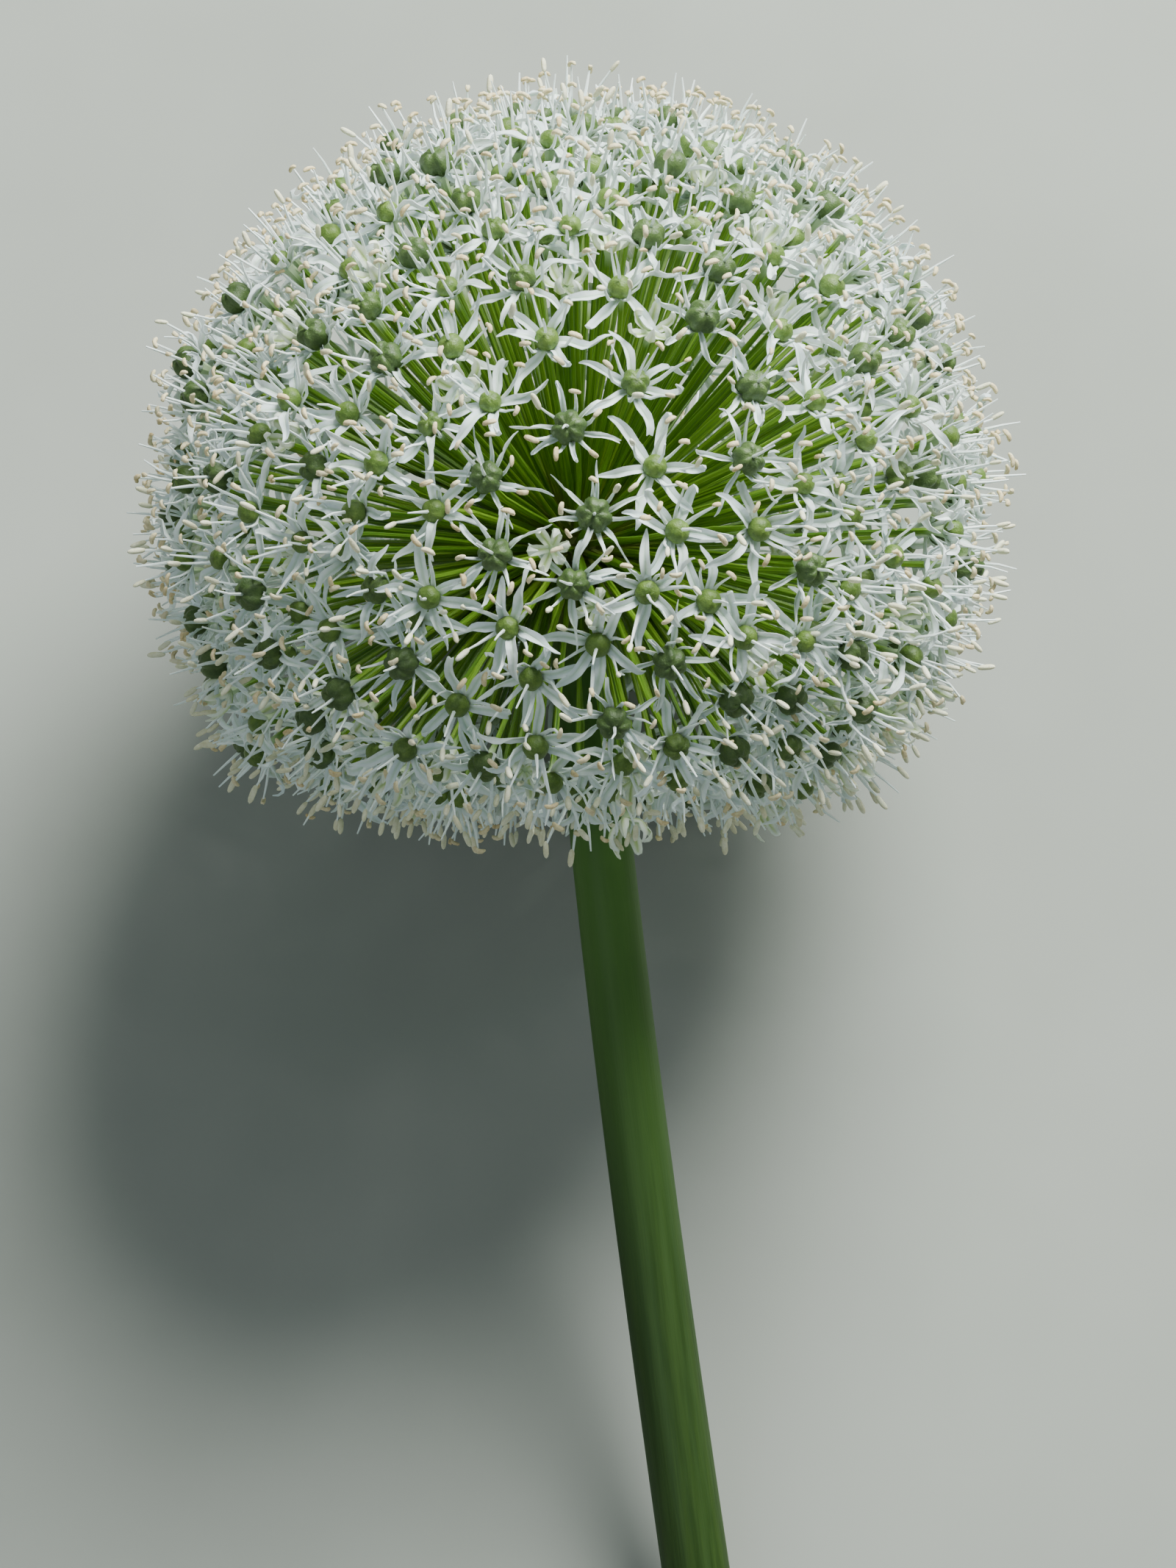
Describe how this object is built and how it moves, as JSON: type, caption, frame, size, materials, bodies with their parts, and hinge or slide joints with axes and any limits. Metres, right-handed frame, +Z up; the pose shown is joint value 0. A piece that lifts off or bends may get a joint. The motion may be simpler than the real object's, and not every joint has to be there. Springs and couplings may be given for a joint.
{
  "type": "allium flower head",
  "caption": "Round white allium flower head of starry florets on green stalks, picked with a length of bare stem and lying on its side.",
  "frame": {"origin": "middle of the plant's box in plan, at the height of the surface that it lies on", "axes": "+Y runs from the cut end of the stem to the crown of the head, +Z is up, +X is the side to which the camera's right lies"},
  "size_m": [0.1502, 0.2542, 0.1479],
  "materials": {
    "stem": "smooth deep green skin with a thin grey-blue bloom",
    "tepal": "matte translucent white with a faint green midrib",
    "stalk": "satin yellow-green",
    "ovary": "finely granular satin green",
    "stamen": "matte translucent white",
    "anther": "powdery cream to tan",
    "bud": "matte cream with green stripes",
    "receptacle": "matte olive"
  },
  "bodies": {
    "root": {"stem": "stem", "floret_cluster_01": "tepal", "floret_cluster_02": "tepal", "floret_cluster_03": "tepal", "floret_cluster_04": "tepal", "floret_cluster_05": "tepal", "floret_cluster_06": "tepal", "floret_cluster_07": "tepal", "floret_cluster_08": "tepal", "floret_cluster_09": "tepal", "floret_cluster_10": "tepal", "floret_cluster_11": "tepal", "floret_cluster_12": "tepal", "floret_cluster_13": "tepal", "floret_cluster_14": "tepal", "floret_cluster_15": "tepal", "floret_cluster_16": "tepal", "floret_cluster_17": "tepal", "floret_cluster_18": "tepal", "floret_cluster_19": "tepal", "floret_cluster_20": "tepal", "floret_cluster_21": "tepal", "floret_cluster_22": "tepal", "floret_cluster_23": "tepal", "floret_cluster_24": "tepal", "floret_cluster_25": "tepal", "floret_cluster_26": "tepal", "floret_cluster_27": "tepal", "floret_cluster_28": "tepal", "floret_cluster_29": "tepal", "floret_cluster_30": "tepal", "floret_cluster_31": "tepal", "floret_cluster_32": "tepal", "floret_cluster_33": "tepal", "floret_cluster_34": "tepal", "floret_cluster_35": "tepal", "floret_cluster_36": "tepal", "floret_cluster_37": "tepal", "floret_cluster_38": "tepal", "floret_cluster_39": "tepal", "floret_cluster_40": "tepal", "floret_cluster_41": "tepal", "floret_cluster_42": "tepal", "floret_cluster_43": "tepal", "floret_cluster_44": "tepal", "floret_cluster_45": "tepal", "floret_cluster_46": "tepal", "floret_cluster_47": "tepal", "floret_cluster_48": "tepal", "floret_cluster_49": "tepal", "floret_cluster_50": "tepal"}
  },
  "joints": []
}
